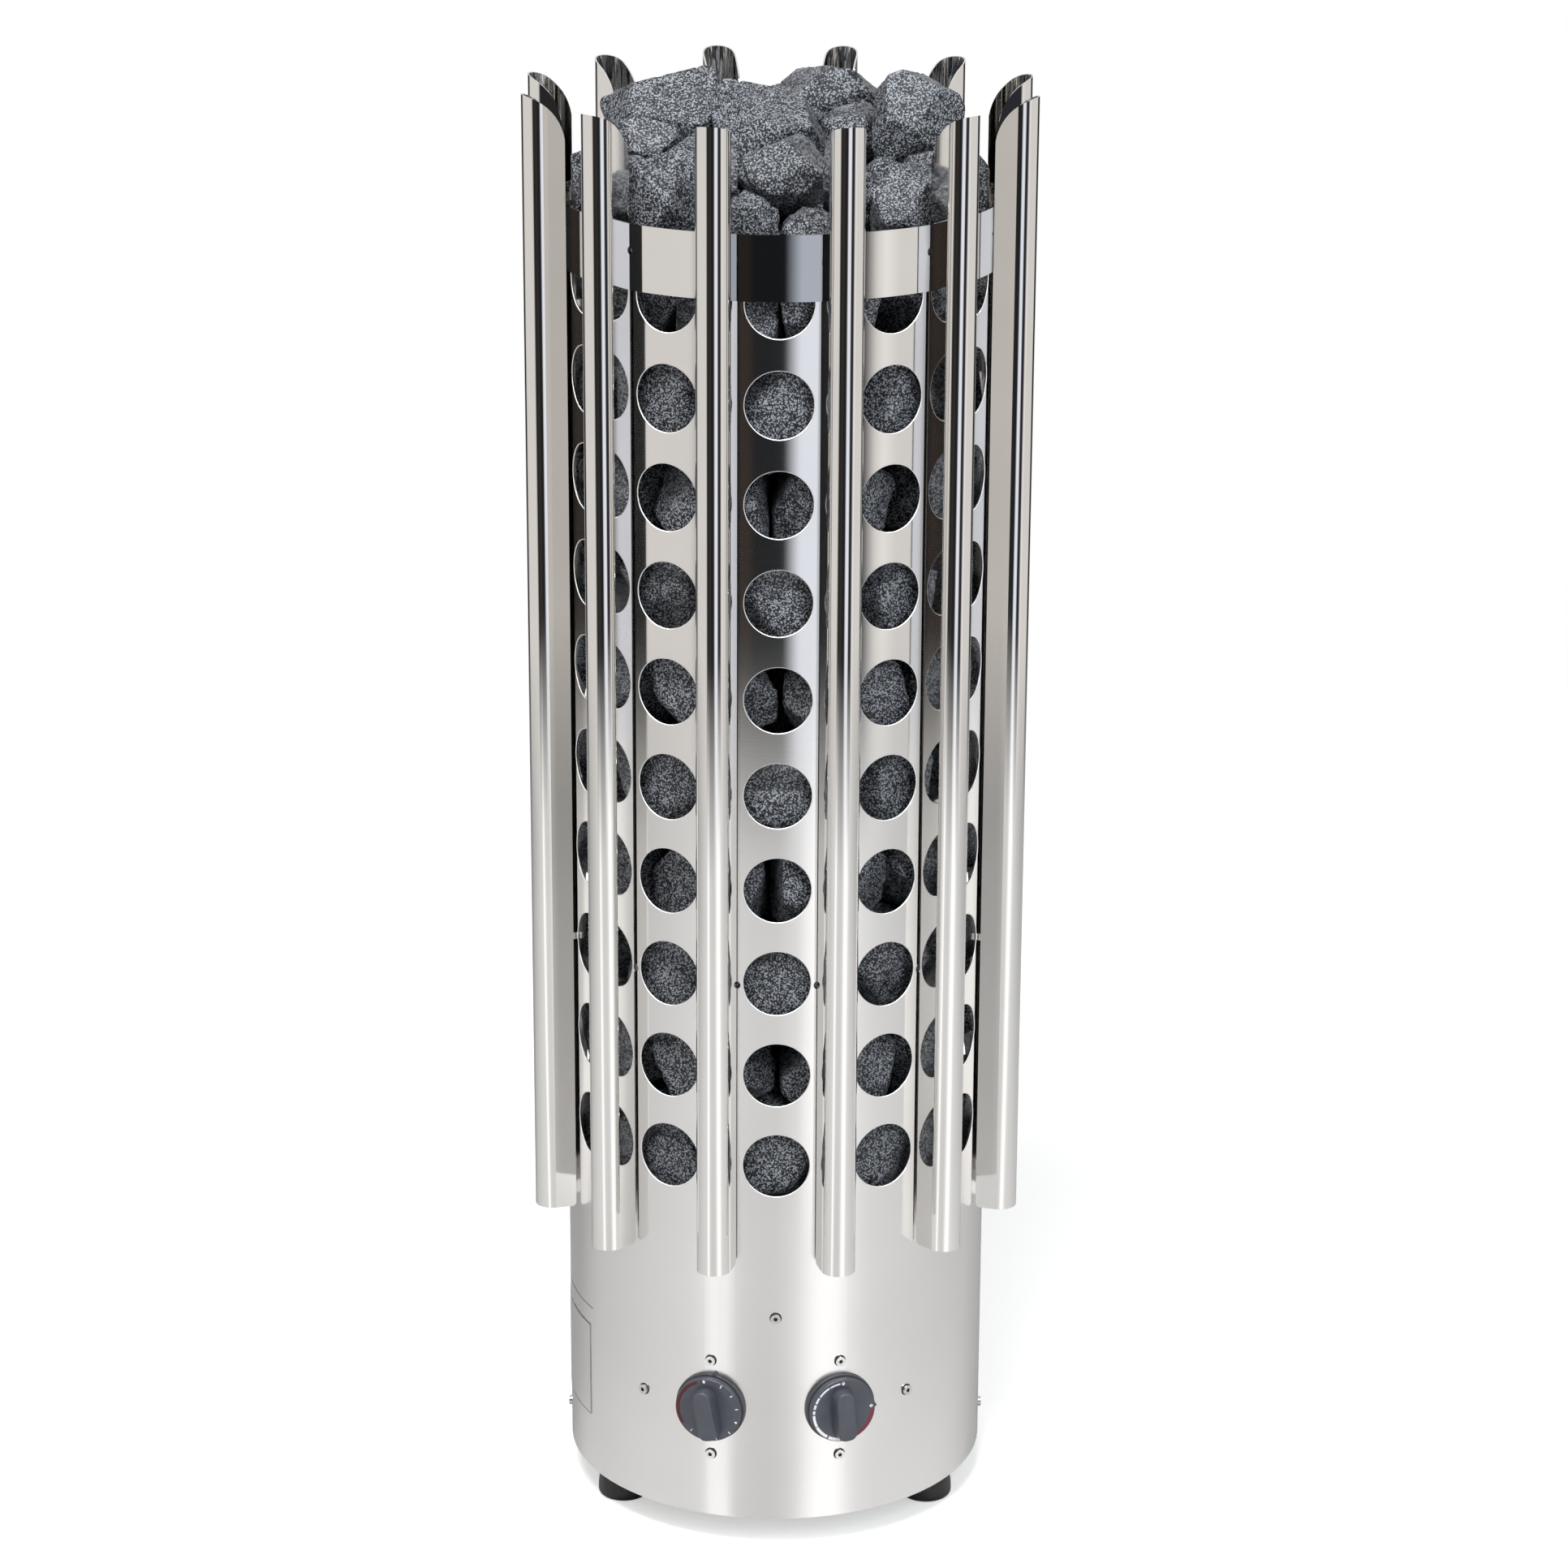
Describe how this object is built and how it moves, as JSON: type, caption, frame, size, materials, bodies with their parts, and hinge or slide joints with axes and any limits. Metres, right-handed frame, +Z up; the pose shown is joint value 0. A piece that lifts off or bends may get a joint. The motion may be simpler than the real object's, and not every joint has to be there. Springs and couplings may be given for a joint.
{
  "type": "sauna heater stove",
  "caption": "Free-standing pillar sauna heater: perforated steel tube full of stones, ringed by upright slats, with two control knobs on its base.",
  "frame": {"origin": "point on the floor under the middle of the pillar", "axes": "+Z up along the pillar, -Y towards the front with the knobs, +X to the viewer's right"},
  "size_m": [0.368, 0.368, 1.1013],
  "materials": {
    "polished_steel": "polished stainless sheet",
    "casing_steel": "polished stainless tube, finely brushed below the slats",
    "dark_mirror": "bare dark mirror plate",
    "sheet_steel": "galvanised sheet",
    "fastener_steel": "stainless screws",
    "element_steel": "dark heat-tinted tube",
    "stone": "rough speckled dark stone",
    "rubber": "black rubber",
    "knob_plastic": "dark slate plastic with printed marks",
    "collar_plastic": "dark plastic",
    "black_plastic": "black polyamide",
    "switch_body": "moulded switch body",
    "red_plastic": "red push pin",
    "brass": "brass",
    "copper": "copper",
    "label": "bare film plate with a thin border"
  },
  "bodies": {
    "heater": {"outer_casing": "casing_steel", "top_band": "polished_steel", "front_plate": "dark_mirror", "slat_01": "polished_steel", "slat_02": "polished_steel", "slat_03": "polished_steel", "slat_04": "polished_steel", "slat_05": "polished_steel", "slat_06": "polished_steel", "slat_07": "polished_steel", "slat_08": "polished_steel", "slat_09": "polished_steel", "slat_10": "polished_steel", "slat_11": "polished_steel", "slat_12": "polished_steel", "bottom_plate": "sheet_steel", "foot_left": "rubber", "foot_right": "rubber", "foot_rear": "rubber", "foot_screws": "fastener_steel", "bottom_screws": "fastener_steel", "control_bracket": "sheet_steel", "front_screws": "fastener_steel", "screw_spacers": "fastener_steel", "timer_switch": "switch_body", "timer_collar": "collar_plastic", "thermostat_switch": "switch_body", "thermostat_collar": "collar_plastic", "switch_nuts": "brass", "sensor_tube": "copper", "sensor_clip": "fastener_steel", "overheat_limiter": "black_plastic", "limiter_nut": "fastener_steel", "terminal_block": "switch_body", "terminal_screws": "fastener_steel", "cable_gland": "black_plastic", "gland_nut": "black_plastic", "heat_shield": "sheet_steel", "element_plate": "sheet_steel", "element_bushes": "brass", "element_nuts": "brass", "element_1": "element_steel", "element_2": "element_steel", "element_3": "element_steel", "element_4": "element_steel", "element_5": "element_steel", "element_6": "element_steel", "neutral_ring": "copper", "stone_grate": "sheet_steel", "rating_plate": "label", "stones_lower": "stone", "stones_middle": "stone", "stones_upper": "stone", "stones_rim": "stone", "stones_heap": "stone"},
    "timer_dial": {"timer_knob": "knob_plastic", "timer_shaft": "fastener_steel"},
    "thermostat_dial": {"thermostat_knob": "knob_plastic", "thermostat_shaft": "fastener_steel"},
    "reset_pin": {"reset_button": "red_plastic"}
  },
  "joints": [
    {"name": "timer_turn", "type": "hinge", "parent": "heater", "child": "timer_dial", "pos_m": [-0.04838, -0.15251, 0.1145], "axis": [0.3024, 0.9532, 0], "range_deg": [0, 330]},
    {"name": "thermostat_turn", "type": "hinge", "parent": "heater", "child": "thermostat_dial", "pos_m": [0.04838, -0.15251, 0.1145], "axis": [-0.3024, 0.9532, 0], "range_deg": [0, 270]},
    {"name": "reset_push", "type": "slide", "parent": "heater", "child": "reset_pin", "axis": [0, 0, 1], "range_m": [0, 0.002], "stiffness_N_per_m": 400, "springref_m": -0.001}
  ]
}
